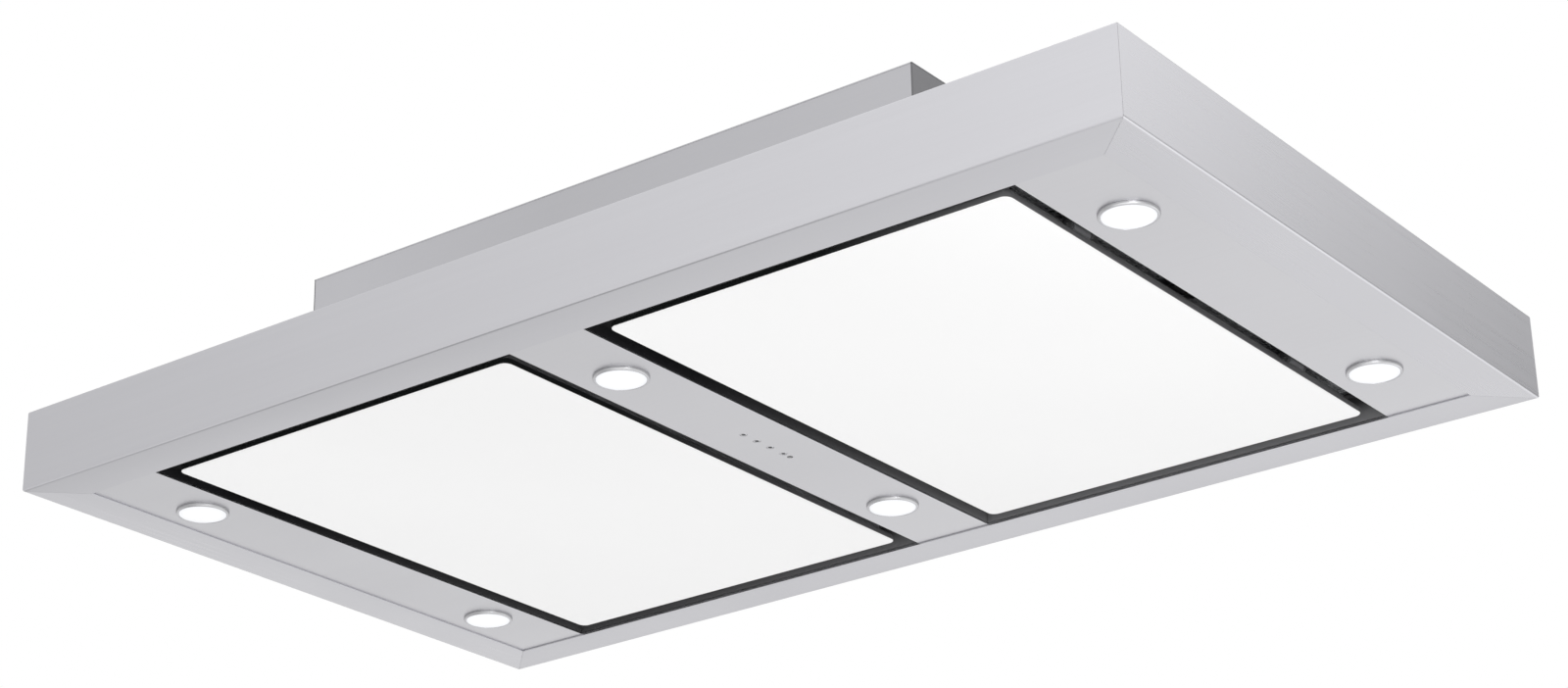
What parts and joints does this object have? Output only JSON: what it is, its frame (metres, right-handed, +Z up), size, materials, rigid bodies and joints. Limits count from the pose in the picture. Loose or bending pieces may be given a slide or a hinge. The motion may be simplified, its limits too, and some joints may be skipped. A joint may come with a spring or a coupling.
{
  "type": "ceiling range hood",
  "caption": "Flush ceiling extractor hood: brushed steel surround, white glass suction panels that hinge down, round spots, and a fan with a round duct collar in the box above.",
  "frame": {"origin": "centre of the ceiling face of the upper box, which is the centre of its four ceiling bolts", "axes": "+X along the long side, +Y along the short side away from the picture's viewer, +Z up into the ceiling; the hood hangs below the origin"},
  "size_m": [1.2, 0.7, 0.2315],
  "materials": {
    "surround_steel": "finely brushed stainless, satin",
    "base_steel": "finely brushed stainless, satin",
    "box_steel": "brushed stainless, satin",
    "galvanised": "galvanised sheet, faint spangle",
    "black_metal": "matt black powder coat",
    "damper_sheet": "rolled aluminium sheet",
    "bright_steel": "bright zinc-plated steel",
    "fan_black": "black painted sheet",
    "motor_grey": "dark grey painted steel",
    "black_rubber": "matt",
    "white_glass": "tempered glass with a white painted back and blacked edges",
    "tray_metal": "grey coated steel tray",
    "magnet": "dull ferrite",
    "filter_aluminium": "extruded aluminium, matt",
    "filter_mesh": "layered expanded aluminium mesh",
    "latch_plastic": "black moulded plastic",
    "bezel_steel": "satin steel ring",
    "spot_lens": "frosted lens, lit",
    "heat_sink": "die-cast, matt",
    "white_case": "white moulded case",
    "black_plastic": "black moulded plastic",
    "circuit_board": "green lacquered board",
    "button_steel": "satin steel cap",
    "dark_window": "dark tinted, glossy",
    "lead_sheath": "grey sheath"
  },
  "bodies": {
    "hood": {"surround_front": "surround_steel", "surround_back": "surround_steel", "surround_left": "surround_steel", "surround_right": "surround_steel", "corner_brackets": "galvanised", "base_plate": "base_steel", "suction_well_left": "black_metal", "suction_well_right": "black_metal", "top_plate": "galvanised", "upper_box": "box_steel", "mounting_rails": "galvanised", "duct_collar": "galvanised", "damper_pin": "bright_steel", "inlet_ring": "fan_black", "fan_posts": "galvanised", "rubber_mounts": "black_rubber", "motor_bracket": "galvanised", "motor": "motor_grey", "hinge_brackets": "black_metal", "hinge_pins": "bright_steel", "magnet_keepers": "galvanised", "filter_frame_left_front": "filter_aluminium", "filter_frame_left_back": "filter_aluminium", "filter_frame_right_front": "filter_aluminium", "filter_frame_right_back": "filter_aluminium", "filter_mesh_left": "filter_mesh", "filter_mesh_right": "filter_mesh", "latch_springs": "bright_steel", "spot_bezels": "bezel_steel", "spot_lenses": "spot_lens", "spot_bodies": "heat_sink", "spot_clips": "bright_steel", "led_driver": "white_case", "control_housing": "black_plastic", "control_board": "circuit_board", "receiver_window": "dark_window", "power_box": "white_case", "power_board": "circuit_board", "cable_gland": "black_plastic", "gland_nut": "black_plastic", "wiring": "lead_sheath", "screws": "bright_steel"},
    "panel_left": {"glass_left": "white_glass", "panel_tray_left": "tray_metal", "panel_magnets_left": "magnet"},
    "panel_right": {"glass_right": "white_glass", "panel_tray_right": "tray_metal", "panel_magnets_right": "magnet"},
    "fan_rotor": {"impeller": "fan_black", "impeller_shaft": "bright_steel"},
    "damper_left": {"damper_flap_left": "damper_sheet"},
    "damper_right": {"damper_flap_right": "damper_sheet"},
    "latch_left_front": {"filter_latch_left_front": "latch_plastic"},
    "latch_left_back": {"filter_latch_left_back": "latch_plastic"},
    "latch_right_front": {"filter_latch_right_front": "latch_plastic"},
    "latch_right_back": {"filter_latch_right_back": "latch_plastic"},
    "push_button_1": {"button_1": "button_steel"},
    "push_button_2": {"button_2": "button_steel"},
    "push_button_3": {"button_3": "button_steel"},
    "push_button_4": {"button_4": "button_steel"}
  },
  "joints": [
    {"name": "panel_left_swing", "type": "hinge", "parent": "hood", "child": "panel_left", "pos_m": [-0.4505, 0, -0.164], "axis": [0, 1, 0], "range_deg": [0, 88]},
    {"name": "panel_right_swing", "type": "hinge", "parent": "hood", "child": "panel_right", "pos_m": [0.4505, 0, -0.164], "axis": [0, -1, 0], "range_deg": [0, 88]},
    {"name": "fan_spin", "type": "hinge", "parent": "hood", "child": "fan_rotor", "pos_m": [-0.12, 0, -0.063], "axis": [0, 0, 1], "continuous": true},
    {"name": "damper_left_lift", "type": "hinge", "parent": "hood", "child": "damper_left", "pos_m": [0.15, 0, -0.022], "axis": [0, 1, 0], "range_deg": [0, 80]},
    {"name": "damper_right_lift", "type": "hinge", "parent": "hood", "child": "damper_right", "pos_m": [0.15, 0, -0.022], "axis": [0, -1, 0], "range_deg": [0, 80]},
    {"name": "latch_left_front_slide", "type": "slide", "parent": "hood", "child": "latch_left_front", "axis": [0, -1, 0], "range_m": [0, 0.0065], "stiffness_N_per_m": 200, "springref_m": -0.012, "deforming": ["latch_springs"]},
    {"name": "latch_left_back_slide", "type": "slide", "parent": "hood", "child": "latch_left_back", "axis": [0, 1, 0], "range_m": [0, 0.0065], "stiffness_N_per_m": 200, "springref_m": -0.012, "deforming": ["latch_springs"]},
    {"name": "latch_right_front_slide", "type": "slide", "parent": "hood", "child": "latch_right_front", "axis": [0, -1, 0], "range_m": [0, 0.0065], "stiffness_N_per_m": 200, "springref_m": -0.012, "deforming": ["latch_springs"]},
    {"name": "latch_right_back_slide", "type": "slide", "parent": "hood", "child": "latch_right_back", "axis": [0, 1, 0], "range_m": [0, 0.0065], "stiffness_N_per_m": 200, "springref_m": -0.012, "deforming": ["latch_springs"]},
    {"name": "button_1_press", "type": "slide", "parent": "hood", "child": "push_button_1", "axis": [0, 0, 1], "range_m": [0, 0.0008], "stiffness_N_per_m": 400, "springref_m": -0.002},
    {"name": "button_2_press", "type": "slide", "parent": "hood", "child": "push_button_2", "axis": [0, 0, 1], "range_m": [0, 0.0008], "stiffness_N_per_m": 400, "springref_m": -0.002},
    {"name": "button_3_press", "type": "slide", "parent": "hood", "child": "push_button_3", "axis": [0, 0, 1], "range_m": [0, 0.0008], "stiffness_N_per_m": 400, "springref_m": -0.002},
    {"name": "button_4_press", "type": "slide", "parent": "hood", "child": "push_button_4", "axis": [0, 0, 1], "range_m": [0, 0.0008], "stiffness_N_per_m": 400, "springref_m": -0.002}
  ]
}
